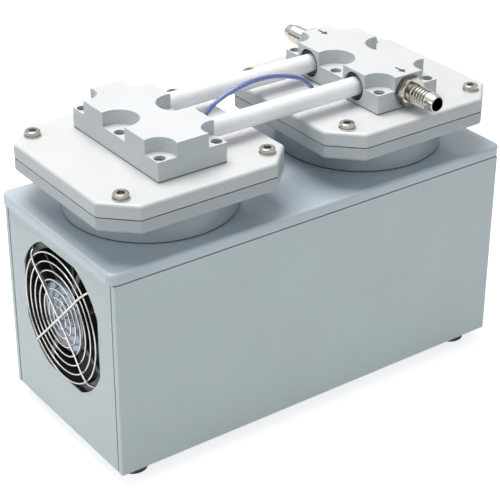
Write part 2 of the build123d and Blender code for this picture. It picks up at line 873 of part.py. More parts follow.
def capacitor():
    half = capacitor_l / 2
    z = z_floor_in + capacitor_r
    return cyl_x(capacitor_r, capacitor_x - half, capacitor_x + half, capacitor_y, z)


# ------------------------------------------------------------------ fan
def fan_corners():
    return corners(fan_hole_pitch / 2, fan_hole_pitch / 2)


def fan_frame():
    """Square frame round a bore, waisted between its flanges, with a hub on four struts."""
    half = fan_square / 2
    front = -fan_front
    back = -fan_back
    inner = front + fan_flange_t
    outer = back - fan_flange_t
    body = block(front, back, -half, half, z_shaft - half, z_shaft + half)
    waist = cyl_x(fan_bore_r + fan_wall, inner, outer, 0, z_shaft)
    body -= block(inner, outer, -half, half, z_shaft - half, z_shaft + half) - waist
    body -= cyl_x(fan_bore_r, front, back, 0, z_shaft)
    struts = block(front, front + fan_hub_t, -fan_bore_r - 0.4, fan_bore_r + 0.4, -strut_w / 2, strut_w / 2)
    for turn in strut_turns:
        body += Pos(0, 0, z_shaft) * Rot(turn, 0, 0) * struts
    body += cyl_x(fan_hub_r, front, front + fan_hub_t, 0, z_shaft)
    body += cyl_x(fan_sleeve_r, front, front + fan_sleeve_l, 0, z_shaft)
    body -= cyl_x(fan_pin_r + run_clearance, front + 1.5, front + fan_sleeve_l, 0, z_shaft)
    for dy, dz in fan_corners():
        body -= cyl_x(fan_hole_r, front, back, dy, z_shaft + dz)
    return body


def fan_cap():
    """Thin bright disc on the fan's hub."""
    return cyl_x(fan_hub_r - 1.5, -fan_front - 0.6, -fan_front, 0, z_shaft)


def fan_rotor():
    front = -fan_front + fan_hub_t + 1
    back = -fan_back - 1
    cup = cyl_x(rotor_hub_r, front, back, 0, z_shaft)
    cup -= cyl_x(rotor_hub_r - rotor_wall, front, back - rotor_wall, 0, z_shaft)
    cup += cyl_x(fan_pin_r, -fan_front + 2, back - rotor_wall, 0, z_shaft)
    tip = fan_bore_r - blade_tip_gap
    middle = (front + back) / 2
    root = rotor_hub_r - 1
    blades = []
    for i in range(blade_count):
        blade = block(-blade_chord / 2, blade_chord / 2, -blade_t / 2, blade_t / 2, root, tip + 2)
        blade = Rot(0, 0, blade_pitch) * blade
        blades.append(Pos(middle, 0, z_shaft) * Rot(i * 360 / blade_count, 0, 0) * blade)
    sweep_space = cyl_x(tip, front, back, 0, z_shaft) - cyl_x(root, front, back, 0, z_shaft)
    for blade in blades:
        cup += blade & sweep_space
    return cup


def guard_ring(radius, x, wire):
    profile = Plane.XZ * Pos(x, radius) * RegularPolygon(wire * 1.05, 8)
    return Pos(0, 0, z_shaft) * revolve(profile, Axis.X)


def guard_stay(turn, x_front):
    """A wire across the rings, cranked back behind the panel to an eyelet at each end."""
    reach = fan_hole_pitch / 2 * sqrt(2)
    x_back = -half_l + sheet + stay_r
    bend = aperture_r - 8
    path = FilletPolyline(
        (x_back, 0, -reach + eyelet_r - stay_r), (x_back, 0, -aperture_r + 1), (x_front, 0, -bend),
        (x_front, 0, bend), (x_back, 0, aperture_r - 1), (x_back, 0, reach - eyelet_r + stay_r),
        radius=2.0,
    )
    start = Plane(origin=path @ 0, z_dir=path % 0)
    wire = sweep(start * Circle(stay_r), path=path)
    for end in (-1, 1):
        eye = Rot(0, 90, 0) * Torus(eyelet_r - stay_r, stay_r)
        wire += Pos(x_back, 0, end * reach) * eye
    return Pos(0, 0, z_shaft) * Rot(turn, 0, 0) * wire


def fan_guard():
    ring_x_place = -half_l - guard_proud
    stay_x = ring_x_place - wire_r - stay_r + 0.35
    guard = guard_stay(45, stay_x) + guard_stay(-45, stay_x)
    for i in range(guard_ring_count):
        guard += guard_ring(guard_ring_r - i * guard_ring_pitch, ring_x_place, wire_r)
    return guard


def fan_studs():
    end = -fan_back + nut_t + 2
    return [cyl_x(stud_r, -half_l + sheet, end, dy, z_shaft + dz) for dy, dz in fan_corners()]


def fan_nuts():
    nuts = []
    for dy, dz in fan_corners():
        nut = hex_prism(nut_af, 0, nut_t) - Pos(0, 0, nut_t / 2) * Cylinder(stud_r, nut_t)
        nuts.append(Pos(-fan_back, dy, z_shaft + dz) * Rot(0, 90, 0) * nut)
    return nuts


# ------------------------------------------------------------------ right end
def centred_x(x0, x1, y, w, z, h):
    return block(x0, x1, y - w / 2, y + w / 2, z - h / 2, z + h / 2)


def power_inlet():
    """Mains inlet socket: a rimmed box through the panel with an open cavity."""
    z = z_case + inlet_z
    back = half_l - inlet_depth
    rim = centred_x(
        half_l, half_l + inlet_rim_t, inlet_y, inlet_w + 2 * inlet_rim, z, inlet_h + 2 * inlet_rim
    )
    rim = fillet(rim.edges().filter_by(Axis.X), 3)
    body = rim + centred_x(back, half_l, inlet_y, inlet_w, z, inlet_h)
    mouth = half_l + inlet_rim_t
    cavity = centred_x(
        mouth - inlet_cavity, mouth, inlet_y, inlet_w - 2 * inlet_wall, z, inlet_h - 2 * inlet_wall
    )
    return body - chamfer(cavity.edges().filter_by(Axis.X).group_by(Axis.Z)[-1], 3.5)


def inlet_pins():
    """Line, earth and neutral blades, standing on the socket's floor."""
    z = z_case + inlet_z
    floor = half_l + inlet_rim_t - inlet_cavity
    pins = []
    for i in (-1, 0, 1):
        rise = pin_rise if i == 0 else -pin_rise
        pins.append(centred_x(floor, floor + pin_l, inlet_y + i * pin_pitch, pin_t, z + rise, pin_w))
    return pins


def switch_housing():
    z = z_case + inlet_z
    rim = centred_x(
        half_l, half_l + switch_rim_t, switch_y, switch_w + 2 * switch_rim, z, switch_h + 2 * switch_rim
    )
    body = rim + centred_x(half_l - switch_depth, half_l, switch_y, switch_w, z, switch_h)
    body -= centred_x(
        half_l - switch_depth + switch_wall, half_l + switch_rim_t,
        switch_y, switch_w - 2 * switch_wall, z, switch_h - 2 * switch_wall,
    )
    inner_h = switch_h / 2 - switch_wall
    return body + cyl_z(rocker_pin_r, z - inner_h, z + inner_h, half_l - rocker_pivot_depth, switch_y)


def rocker_switch():
    """Rocker with a dished face, lying at one end of its travel."""
    z = z_case + inlet_z
    width = switch_w - 2 * switch_wall - 2 * rocker_gap
    height = switch_h - 2 * switch_wall - 2 * rocker_gap
    pivot_x = half_l - rocker_pivot_depth
    crest = pivot_x + rocker_rise
    body = centred_x(pivot_x - 3.5, crest, switch_y, width - 2, z, height)
    body -= cyl_z(rocker_r, z - height, z + height, crest + rocker_r - rocker_dish, switch_y)
    body -= cyl_z(rocker_pin_r + run_clearance, z - height, z + height, pivot_x, switch_y)
    turn = Pos(pivot_x, switch_y, 0) * Rot(0, 0, rocker_tilt) * Pos(-pivot_x, -switch_y, 0)
    return turn * body


# ------------------------------------------------------------------ build
save("base_plate", base_plate())
save("left_end_panel", left_end_panel())
save("right_end_panel", right_end_panel())
save("top_plate", top_plate())
save("rubber_feet", *[foot(x, y) for x, y in foot_places()])
save("foot_screws", *[foot_screw(x, y) for x, y in foot_places()])
save("foot_nuts", *[foot_nut(x, y) for x, y in foot_places()])
save("cover_screws", *[cover_screw(x, y) for x, y in cover_screw_places()])

for name, sy in ENDS:
    save(f"{name}_cover", cover(sy))
    save(f"connecting_tube_{name}", connecting_tube(sy))
    save(f"hose_nozzle_{name}", hose_nozzle(sy))

for name, side in SIDES:
    save(f"crankcase_{name}", crankcase(side))
    save(f"head_plate_{name}", head_plate(side))
    save(f"manifold_{name}", manifold(side))
    save(f"diaphragm_{name}", diaphragm(side))
    save(f"clamp_disc_{name}", clamp_disc(side))
    save(f"clamp_screw_{name}", clamp_screw(side))
    save(f"connecting_rod_{name}", connecting_rod(side))
    save(f"rod_bearing_{name}", rod_bearing(side))
    save(f"eccentric_{name}", eccentric(side))

save("manifold_gaskets", manifold_gasket(-1), manifold_gasket(1))
save("valve_flaps", *valve_flaps(-1), *valve_flaps(1))
save("head_screws", *head_screws(-1), *head_screws(1))
save("head_washers", *head_washers(-1), *head_washers(1))
save("manifold_screws", *manifold_screws(-1), *manifold_screws(1))
save("tube_seals", *tube_seals())
save("nozzle_seals", nozzle_seal(-1), nozzle_seal(1))
save("balance_hose", balance_hose())
save("hose_fittings", hose_fitting(-1), hose_fitting(1))

save("motor_housing", motor_housing())
save("motor_bells", motor_bell(-1), motor_bell(1))
save("motor_shaft", motor_shaft())
save("motor_rotor", motor_rotor())
save("shaft_bearings", shaft_bearing(-1), shaft_bearing(1))
save("stator_core", stator_core())
save("stator_winding", stator_winding(-1), stator_winding(1))
save("motor_cradle", motor_cradle())
save("capacitor", capacitor())

save("fan_frame", fan_frame())
save("fan_cap", fan_cap())
save("fan_rotor", fan_rotor())
save("fan_guard", fan_guard())
save("fan_studs", *fan_studs())
save("fan_nuts", *fan_nuts())

save("power_inlet", power_inlet())
save("inlet_pins", *inlet_pins())
save("switch_housing", switch_housing())
save("rocker_switch", rocker_switch())
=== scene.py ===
# %% [markdown]
# # A twin-head diaphragm vacuum pump
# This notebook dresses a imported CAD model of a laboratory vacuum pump: a sheet-metal box with a motor
# inside, two octagonal pump heads on top, manifold blocks on the heads, and tubes that join them. The
# CAD solids fix every size and place. Blender adds finishes, fine edges and small turned details. The
# frame is in metres: X runs along the casing from its fan end, Y goes to the rear and Z is up.

import bmesh
import bpy
import json
from math import cos, pi, radians, sin, sqrt
from mathutils import Matrix, Vector

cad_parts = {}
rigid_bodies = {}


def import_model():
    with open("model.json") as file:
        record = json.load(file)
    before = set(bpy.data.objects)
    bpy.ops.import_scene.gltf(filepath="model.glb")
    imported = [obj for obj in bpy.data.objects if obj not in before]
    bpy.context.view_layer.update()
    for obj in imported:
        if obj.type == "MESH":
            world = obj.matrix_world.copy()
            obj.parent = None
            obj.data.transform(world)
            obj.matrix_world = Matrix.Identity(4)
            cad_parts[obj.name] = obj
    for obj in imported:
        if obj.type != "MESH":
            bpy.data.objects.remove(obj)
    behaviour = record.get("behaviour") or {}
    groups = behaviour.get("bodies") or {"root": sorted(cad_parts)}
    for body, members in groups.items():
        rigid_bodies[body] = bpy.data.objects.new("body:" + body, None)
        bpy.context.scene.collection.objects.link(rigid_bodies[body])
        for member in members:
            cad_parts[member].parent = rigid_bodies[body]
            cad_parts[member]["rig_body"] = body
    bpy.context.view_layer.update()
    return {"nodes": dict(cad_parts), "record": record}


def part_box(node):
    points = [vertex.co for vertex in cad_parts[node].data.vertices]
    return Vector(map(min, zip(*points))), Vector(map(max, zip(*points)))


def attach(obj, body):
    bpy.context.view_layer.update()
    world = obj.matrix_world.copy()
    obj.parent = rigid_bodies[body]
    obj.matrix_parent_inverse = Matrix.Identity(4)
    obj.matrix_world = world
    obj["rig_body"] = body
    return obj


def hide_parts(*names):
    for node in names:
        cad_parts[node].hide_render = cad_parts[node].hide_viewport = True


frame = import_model()
nodes = frame["nodes"]
mm = 0.001


def add_object(name, data):
    """Put an object with this data into the scene."""
    added = bpy.data.objects.new(name, data)
    bpy.context.scene.collection.objects.link(added)
    return added


def as_mesh(work, name):
    """Write a bmesh into a new mesh and free it."""
    mesh = bpy.data.meshes.new(name)
    work.to_mesh(mesh)
    work.free()
    return mesh


# %% [markdown]
# ## Camera
# The pump is seen from its front left corner and from above. A long lens keeps the casing's edges nearly
# parallel, as a catalogue picture does. The camera's place and its three axes are worked out from one
# azimuth, one elevation and a very small roll, so nothing has to be turned by hand.

# %% Camera
camera_place = Vector((-0.7104, -0.9750, 0.7870))
azimuth = radians(-35.764)
elevation = radians(29.074)
roll = radians(0.138)
sensor = 36.0
lens = 114.93


def camera_axes():
    back = Vector((sin(azimuth) * cos(elevation), -cos(azimuth) * cos(elevation), sin(elevation)))
    level = (-back).cross(Vector((0, 0, 1))).normalized()
    up = level.cross(-back)
    return level * cos(roll) + up * sin(roll), up * cos(roll) - level * sin(roll), back


camera = add_object("camera", bpy.data.cameras.new("camera"))
camera.data.sensor_width = sensor
camera.data.lens = lens
camera.data.clip_start = 0.05
camera.data.clip_end = 50
axes = Matrix(camera_axes()).transposed()
camera.matrix_world = Matrix.Translation(camera_place) @ axes.to_4x4()
bpy.context.scene.camera = camera
print("camera looks along", [round(v, 3) for v in -axes.col[2]])

# %% [markdown]
# ## Node trees in a few words
# Every finish below is a small graph of shader nodes. A few helpers keep the cells short: one adds a node
# and fills its sockets, from numbers or from other nodes' sockets, one starts a material with object
# coordinates, because these stay with a piece when it moves, and the rest each add one common node.

# %% Helpers for node trees
def put(tree, kind, sockets=None, **settings):
    """Add a node, set its settings, then link or fill its input sockets."""
    node = tree.nodes.new(kind)
    for name, value in settings.items():
        setattr(node, name, value)
    for name, value in (sockets or {}).items():
        if isinstance(value, bpy.types.NodeSocket):
            tree.links.new(value, node.inputs[name])
        else:
            node.inputs[name].default_value = value
    return node


def start_material(name):
    material = bpy.data.materials.new(name)
    material.use_nodes = True
    tree = material.node_tree
    shader = tree.nodes["Principled BSDF"]
    place = put(tree, "ShaderNodeTexCoord").outputs["Object"]
    return material, tree, shader, place


def noise(tree, place, scale, detail=3.0):
    return put(tree, "ShaderNodeTexNoise", {"Vector": place, "Scale": scale, "Detail": detail}).outputs[0]


def span(tree, value, low, high, from_low=0.3, from_high=0.7):
    """Spread a noise over a range of values."""
    node = put(tree, "ShaderNodeMapRange", {"Value": value, "To Min": low, "To Max": high})
    node.inputs["From Min"].default_value = from_low
    node.inputs["From Max"].default_value = from_high
    return node.outputs[0]


def blend_colour(tree, factor, first, second):
    node = put(tree, "ShaderNodeMix", data_type="RGBA")
    tree.links.new(factor, node.inputs[0])
    for socket, colour in ((node.inputs[6], first), (node.inputs[7], second)):
        if isinstance(colour, bpy.types.NodeSocket):
            tree.links.new(colour, socket)
        else:
            socket.default_value = (*colour, 1)
    return node.outputs[2]


def product(tree, first, second):
    return put(tree, "ShaderNodeMath", {0: first, 1: second}, operation="MULTIPLY").outputs[0]


def shade(colour, factor):
    return tuple(min(1.0, c * factor) for c in colour)


# %% [markdown]
# ## Painted and cast metal
# The casing wears a powder coat: one colour with a faint cloudiness and a very fine orange-peel skin.
# Along folds and edges the coat is paler, partly as coat worn thin and partly as a painted highlight. A
# Bevel node finds such edges: where its rounded normal leaves the true one, an edge is near. Narrow
# joints between pieces and inside corners get painted shade, and the Ambient Occlusion node, kept to 2 mm,
# finds those.
#
# The heads and blocks are enamelled. Their upward faces keep the whole colour and their upright faces are
# darker and bluer, a painted shade, and on the heads the faces under the joint carry a deeper painted shade.
# Both follow from the normal and the height in object coordinates.

# %% Edge wear, painted highlights, painted shade and paint
speck_share = 0.07
edge_radius = 0.9 * mm
joint_reach = 2.2 * mm
# Bluish tint of the painted shade on upright faces and under the heads' joint.
shade_tint = (0.0, 0.12, 0.20)


def edge_mask(tree, radius):
    """1 close to a sharp edge, 0 on the flat."""
    rounded = put(tree, "ShaderNodeBevel", {"Radius": radius}, samples=6).outputs[0]
    true = put(tree, "ShaderNodeNewGeometry").outputs["True Normal"]
    dot = put(tree, "ShaderNodeVectorMath", operation="DOT_PRODUCT")
    tree.links.new(rounded, dot.inputs[0])
    tree.links.new(true, dot.inputs[1])
    return span(tree, dot.outputs["Value"], 1.0, 0.0, 0.80, 0.98)


def unshaded_mask(tree):
    """0 deep in a narrow joint, where painted shade makes the colour nearly black, and 1 on an open face."""
    reach = put(tree, "ShaderNodeAmbientOcclusion", {"Distance": joint_reach}, samples=8)
    return span(tree, reach.outputs["AO"], 0.0, 1.0, 0.18, 0.50)


def painted(name, colour, rough=0.42, peel=0.06, wear=0.25, skin=2400.0, coat=0.0):
    material, tree, shader, place = start_material(name)
    cloud = noise(tree, place, 14.0, 4.0)
    base = blend_colour(tree, span(tree, cloud, 0.0, 1.0), shade(colour, 0.965), shade(colour, 1.03))
    speck = span(tree, noise(tree, place, 900.0, 1.0), 0.0, 1.0, 0.66, 0.74)
    base = blend_colour(tree, product(tree, speck, speck_share), base, shade(colour, 0.72))
    # Paler edges: partly coat worn thin, partly a painted highlight.
    worn_and_lit_edge = product(tree, edge_mask(tree, edge_radius), wear)
    base = blend_colour(tree, worn_and_lit_edge, base, shade(colour, 1.45))
    # Painted shade: the colour goes nearly black deep in narrow joints and darker in inside corners.
    base = blend_colour(tree, unshaded_mask(tree), shade(colour, 0.10), base)
    tree.links.new(base, shader.inputs["Base Color"])
    shader.inputs["Coat Weight"].default_value = coat
    shader.inputs["Coat Roughness"].default_value = 0.15
    patchy = span(tree, noise(tree, place, 55.0), rough - 0.03, rough + 0.03, 0.1, 0.9)
    tree.links.new(patchy, shader.inputs["Roughness"])
    grain = noise(tree, place, skin, 2.0)
    bump = put(tree, "ShaderNodeBump", {"Height": grain, "Strength": peel, "Distance": 0.0002})
    tree.links.new(bump.outputs[0], shader.inputs["Normal"])
    return material


def enamelled_with_painted_shade(name, colour, side_shade_share, shade_levels=(), **finish):
    """Paint with painted shade: upward faces keep the whole colour, upright faces a smaller share, darker
    and bluer.

    Levels are pairs of a height in metres and the share of the colour left under it, a deeper painted shade.
    """
    material = painted(name, colour, **finish)
    tree = material.node_tree
    shader = tree.nodes["Principled BSDF"]
    axes = put(tree, "ShaderNodeSeparateXYZ")
    tree.links.new(put(tree, "ShaderNodeTexCoord").outputs["Normal"], axes.inputs[0])
    # Painted shade: upright faces get less of the colour than upward ones.
    coat = span(tree, axes.outputs["Z"], side_shade_share, 1.0, 0.35, 0.95)
    heights = put(tree, "ShaderNodeSeparateXYZ")
    tree.links.new(put(tree, "ShaderNodeTexCoord").outputs["Object"], heights.inputs[0])
    # Painted shade: under each level's height the colour is darker.
    for height, share in shade_levels:
        step = span(tree, heights.outputs["Z"], share, 1.0, height - 1.0 * mm, height + 1.0 * mm)
        coat = product(tree, coat, step)
    base = shader.inputs["Base Color"].links[0].from_socket
    # The painted shade also turns the colour bluer.
    painted_shade_colour = blend_colour(tree, coat, shade_tint, (1.0, 1.0, 1.0))
    mixed = put(tree, "ShaderNodeMix", {0: 1.0, 6: base, 7: painted_shade_colour}, data_type="RGBA", blend_type="MULTIPLY")
    tree.links.new(mixed.outputs[2], shader.inputs["Base Color"])
    return material


# %% [markdown]
# ## Turned, drawn and cast metal
# Bare metal is told apart by its marks. A turned piece carries rings round its axis, a drawn tube has fine
# lines along it, and a blasted casting is evenly rough. All three are one graph: noise stretched along or
# round an axis drives the roughness and a shallow bump.

# %% Metal finishes
def metal(name, colour, rough=0.3, stretch=(1.0, 1.0, 1.0), scale=300.0, bump=0.1, metallic=1.0, stain=0.12):
    material, tree, shader, place = start_material(name)
    shader.inputs["Metallic"].default_value = metallic
    lines = put(tree, "ShaderNodeMapping", {"Vector": place, "Scale": stretch}).outputs[0]
    marks = noise(tree, lines, scale, 3.0)
    cloud = noise(tree, place, 35.0, 4.0)
    base = blend_colour(tree, span(tree, cloud, 0.0, 1.0), shade(colour, 1.0 - stain), shade(colour, 1.05))
    # A painted highlight: the colour is paler along sharp edges.
    base = blend_colour(tree, product(tree, edge_mask(tree, 0.0005), 0.35), base, shade(colour, 1.3))
    tree.links.new(base, shader.inputs["Base Color"])
    tree.links.new(span(tree, marks, rough * 0.75, rough * 1.3), shader.inputs["Roughness"])
    relief = put(tree, "ShaderNodeBump", {"Height": marks, "Strength": bump, "Distance": 0.0001})
    tree.links.new(relief.outputs[0], shader.inputs["Normal"])
    return material


# %% [markdown]
# ## Rubber, plastic and the clear hose
# Moulded pieces have no direction. Rubber is dark, rough and a little dusty. Plastic is smoother with a
# fine spark-eroded grain. The hose is tinted polyurethane, so some light goes through it.

# %% Moulded finishes
def moulded(name, colour, rough=0.5, grain=700.0, bump=0.15, dust=0.1, coat=0.0):
    material, tree, shader, place = start_material(name)
    shader.inputs["Coat Weight"].default_value = coat
    shader.inputs["Coat Roughness"].default_value = 0.12
    cloud = noise(tree, place, 60.0, 5.0)
    dusty = tuple(c + dust * (0.5 - c) for c in colour)
    base = blend_colour(tree, span(tree, cloud, 0.0, 1.0, 0.35, 0.8), colour, dusty)
    tree.links.new(base, shader.inputs["Base Color"])
    patchy = span(tree, noise(tree, place, 90.0), rough - 0.07, rough + 0.08)
    tree.links.new(patchy, shader.inputs["Roughness"])
    skin = noise(tree, place, grain, 2.0)
    relief = put(tree, "ShaderNodeBump", {"Height": skin, "Strength": bump, "Distance": 0.0002})
    tree.links.new(relief.outputs[0], shader.inputs["Normal"])
    return material


def clear_hose(name, colour):
    material = moulded(name, colour, rough=0.16, grain=240.0, bump=0.02, dust=0.0, coat=1.0)
    shader = material.node_tree.nodes["Principled BSDF"]
    shader.inputs["Transmission Weight"].default_value = 0.35
    shader.inputs["IOR"].default_value = 1.48
    return material


# %% [markdown]
# ## One finish for each material slot
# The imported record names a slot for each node. A table gives every slot its finish once, and then each
# node takes the finish of its own slot, the hidden ones inside the casing too.

# %% Finishes by slot
paint_colour = (0.612, 0.686, 0.700)
head_colour = (0.735, 0.738, 0.736)
joint_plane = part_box("head_plate_left")[0].z
flange_height = 12.5 * mm
flange_plane = joint_plane - flange_height
# Heights under which the heads' colour is darkened as painted shade.
head_shade_levels = ((joint_plane - 0.5 * mm, 0.82), (flange_plane, 0.78))
finishes = {
    "casing_paint": painted("casing_paint", paint_colour),
    "deck_paint": painted("deck_paint", (0.560, 0.630, 0.695), rough=0.30, peel=0.03, coat=0.5),
    "head_aluminium": enamelled_with_painted_shade(
        "head_enamel", head_colour, 0.77, head_shade_levels, rough=0.36, peel=0.10, wear=0.30, skin=1500.0
    ),
    "block_aluminium": enamelled_with_painted_shade(
        "block_enamel", (0.715, 0.726, 0.732), 0.73, rough=0.36, peel=0.08, wear=0.2
    ),
    "tube_steel": metal("tube_steel", (0.90, 0.905, 0.91), 0.36, (0.02, 1.0, 1.0), 500.0, 0.005, 0.0, 0.01),
    "screw_steel": metal("screw_steel", (0.42, 0.41, 0.38), 0.15, scale=700.0),
    "washer_steel": metal("washer_steel", (0.50, 0.485, 0.45), 0.16, scale=600.0),
    "nozzle_nickel": metal("nozzle_nickel", (0.55, 0.53, 0.485), 0.12, (1.0, 6.0, 1.0), 400.0, 0.05),
    "foot_rubber": moulded("foot_rubber", (0.018, 0.018, 0.019), 0.62, dust=0.12),
    "seal_rubber": moulded("seal_rubber", (0.020, 0.020, 0.022), 0.5, dust=0.05),
    "gasket_fibre": moulded("gasket_fibre", (0.10, 0.13, 0.14), 0.75, 1600.0, 0.3),
    "diaphragm_rubber": moulded("diaphragm_rubber", (0.03, 0.03, 0.035), 0.6),
    "valve_steel": metal("valve_steel", (0.55, 0.57, 0.60), 0.22),
    "hose_plastic": clear_hose("hose_plastic", (0.17, 0.22, 0.56)),
    "fitting_steel": metal("fitting_steel", (0.60, 0.61, 0.62), 0.28),
    "guard_wire": metal("guard_wire", (0.66, 0.64, 0.60), 0.24, scale=900.0, bump=0.05),
    "fan_plastic": moulded("fan_plastic", (0.012, 0.013, 0.016), 0.42),
    "fan_cap_metal": metal("fan_cap_metal", (0.25, 0.31, 0.40), 0.20, scale=260.0, stain=0.45),
    "blade_plastic": moulded("blade_plastic", (0.014, 0.016, 0.020), 0.36),
    "motor_aluminium": metal("motor_aluminium", (0.50, 0.51, 0.52), 0.45, scale=500.0, bump=0.3),
    "shaft_steel": metal("shaft_steel", (0.55, 0.55, 0.56), 0.2),
    "lamination_steel": metal("lamination_steel", (0.20, 0.20, 0.21), 0.4, (40.0, 1.0, 1.0), 60.0, 0.5),
    "winding_copper": metal("winding_copper", (0.62, 0.26, 0.10), 0.3, (30.0, 1.0, 1.0), 60.0, 0.5),
    "bearing_steel": metal("bearing_steel", (0.60, 0.61, 0.62), 0.15),
    "rod_aluminium": metal("rod_aluminium", (0.55, 0.56, 0.58), 0.35, scale=500.0, bump=0.2),
    "cradle_steel": painted("cradle_paint", (0.030, 0.032, 0.035), rough=0.5),
    "capacitor_can": moulded("capacitor_can", (0.60, 0.60, 0.57), 0.4),
    "inlet_plastic": moulded("inlet_plastic", (0.016, 0.016, 0.017), 0.45),
    "pin_brass": metal("pin_brass", (0.70, 0.52, 0.22), 0.25),
    "rocker_plastic": moulded("rocker_plastic", (0.014, 0.014, 0.015), 0.25, coat=0.4),
}
slot_of = {part["node"]: part["material_slot"] for part in frame["record"]["subparts"]}


def wear_finish(piece, slot):
    piece.data.materials.clear()
    piece.data.materials.append(finishes[slot])
    return piece


for node_name, node in nodes.items():
    wear_finish(node, slot_of[node_name])
print("finishes:", len(finishes), "nodes dressed:", len(nodes))

# %% [markdown]
# ## From CAD solid to finished piece
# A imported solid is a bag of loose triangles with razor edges. For each visible piece a copy is merged, its
# flat faces are joined again, and a fine bevel breaks the sharp edges, because every real edge catches a
# line of light. The copy rides on the same body and stands for its node.

# %% Finished copies of CAD nodes
sharp_angle = radians(28)
flat_angle = radians(0.6)
weld_distance = 0.000004


def merged(node_name):
    """A node's triangles as a bmesh, with the vertices that lie together made one."""
    work = bmesh.new()
    work.from_mesh(nodes[node_name].data)
    bmesh.ops.remove_doubles(work, verts=work.verts, dist=weld_distance)
    return work


def merged_copy(node_name):
    work = merged(node_name)
    edges = [e for e in work.edges if e.is_manifold]
    bmesh.ops.dissolve_limit(work, angle_limit=flat_angle, verts=work.verts, edges=edges)
    name = node_name + "_finished"
    return add_object(name, as_mesh(work, name))


def settle(piece):
    """Bake a piece's modifiers into a plain mesh."""
    graph = bpy.context.evaluated_depsgraph_get()
    mesh = bpy.data.meshes.new_from_object(piece.evaluated_get(graph))
    piece.modifiers.clear()
    piece.data = mesh
    return piece


def smooth_by_angle(mesh, angle=sharp_angle):
    work = bmesh.new()
    work.from_mesh(mesh)
    for face in work.faces:
        face.smooth = True
    for edge in work.edges:
        edge.smooth = edge.is_manifold and edge.calc_face_angle(0.0) < angle
    work.to_mesh(mesh)
    work.free()


def break_edges(piece, width):
    modifier = piece.modifiers.new("edges", "BEVEL")
    modifier.width = width * mm
    modifier.segments = 2
    modifier.limit_method = "ANGLE"
    modifier.angle_limit = sharp_angle
    modifier.harden_normals = False
    modifier.use_clamp_overlap = True
    settle(piece)


def weigh_normals(piece):
    """Let the large flat faces set the shading at their edges, so that they look flat."""
    modifier = piece.modifiers.new("normals", "WEIGHTED_NORMAL")
    modifier.keep_sharp = True
    modifier.weight = 100
    settle(piece)


def finished(node_name, bevel):
    """A merged copy with its sharp edges broken by a bevel in mm, standing for its node."""
    piece = merged_copy(node_name)
    if bevel:
        break_edges(piece, bevel)
    smooth_by_angle(piece.data)
    weigh_normals(piece)
    stand_for(piece, node_name)
    return piece


def stand_for(piece, node_name):
    """Give a piece its node's finish and body, and let it replace the node, which is hidden."""
    wear_finish(piece, slot_of[node_name])
    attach(piece, nodes[node_name]["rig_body"])
    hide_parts(node_name)


edge_widths = {
    "crankcase_left": 0.5, "crankcase_right": 0.5, "head_plate_left": 0.4, "head_plate_right": 0.4,
    "manifold_left": 0.45, "manifold_right": 0.45, "front_cover": 0.3, "rear_cover": 0.3,
    "left_end_panel": 0.35, "right_end_panel": 0.3, "top_plate": 0.3, "connecting_tube_front": 0.0,
    "connecting_tube_rear": 0.0, "hose_fittings": 0.2, "power_inlet": 0.3, "switch_housing": 0.3,
    "rocker_switch": 0.3, "fan_frame": 0.3, "rubber_feet": 0.3, "fan_cap": 0.2, "base_plate": 0.2,
}
for node_name, width in edge_widths.items():
    piece = finished(node_name, width)
    print(node_name, "faces:", len(piece.data.polygons))

# %% [markdown]
# ## Turned pieces
# Screws, nozzles and washers are lathe work. One function builds them from stations along the axis: each
# station has a height and a radius, and the radius may change round the turn, which makes a hexagon or a
# knurled rim from the same ring of points.

# %% A lathe
def hexagon(across_flats):
    """Radius of a hexagon round the turn."""
    return lambda turn: across_flats / 2 / cos((turn % (pi / 3)) - pi / 6)


def knurl(radius, depth, teeth):
    return lambda turn: radius - depth * (0.5 + 0.5 * cos(teeth * turn))


def lathe(name, stations, segments=72, closed=False, angle=sharp_angle):
    """Mesh about Z from (radius in mm, height in mm) stations; a radius of 0 closes an end."""
    work = bmesh.new()
    rows = []
    for radius, height in stations:
        if radius == 0:
            rows.append([work.verts.new((0, 0, height * mm))])
            continue
        row = []
        for i in range(segments):
            turn = 2 * pi * i / segments
            r = radius(turn) if callable(radius) else radius
            row.append(work.verts.new((r * mm * cos(turn), r * mm * sin(turn), height * mm)))
        rows.append(row)
    pairs = list(zip(rows, rows[1:]))
    if closed:
        pairs.append((rows[-1], rows[0]))
    for low, high in pairs:
        for i in range(segments):
            j = (i + 1) % segments
            corners = [low[i % len(low)], low[j % len(low)], high[j % len(high)], high[i % len(high)]]
            work.faces.new(list(dict.fromkeys(corners)))
    bmesh.ops.recalc_face_normals(work, faces=work.faces)
    mesh = as_mesh(work, name)
    smooth_by_angle(mesh, angle)
    return add_object(name, mesh)


# %% [markdown]
# ## Repeating a piece with Geometry Nodes
# A pump has many equal fasteners, and no two socket heads stop at the same turn. The tree below takes a
# mesh of points, puts one pattern piece on each with a seeded random turn, makes the copies real and gives
# them their finish. It is used for all the screws and washers.

# %% The repeating tree
def new_tree(name, inputs):
    """An empty node group with a Geometry input and output and the named inputs."""
    tree = bpy.data.node_groups.new(name, "GeometryNodeTree")
    tree.interface.new_socket("Geometry", in_out="INPUT", socket_type="NodeSocketGeometry")
    for label, kind in inputs:
        tree.interface.new_socket(label, in_out="INPUT", socket_type="NodeSocket" + kind)
    tree.interface.new_socket("Geometry", in_out="OUTPUT", socket_type="NodeSocketGeometry")
    return tree, tree.nodes.new("NodeGroupInput").outputs, tree.nodes.new("NodeGroupOutput").inputs


def close_tree(tree, shape, material, out):
    """Every tree ends by making its copies real and giving them a finish."""
    real = put(tree, "GeometryNodeRealizeInstances", {"Geometry": shape}).outputs[0]
    set_material = put(tree, "GeometryNodeSetMaterial", {"Geometry": real, "Material": material})
    tree.links.new(set_material.outputs[0], out["Geometry"])
    return tree


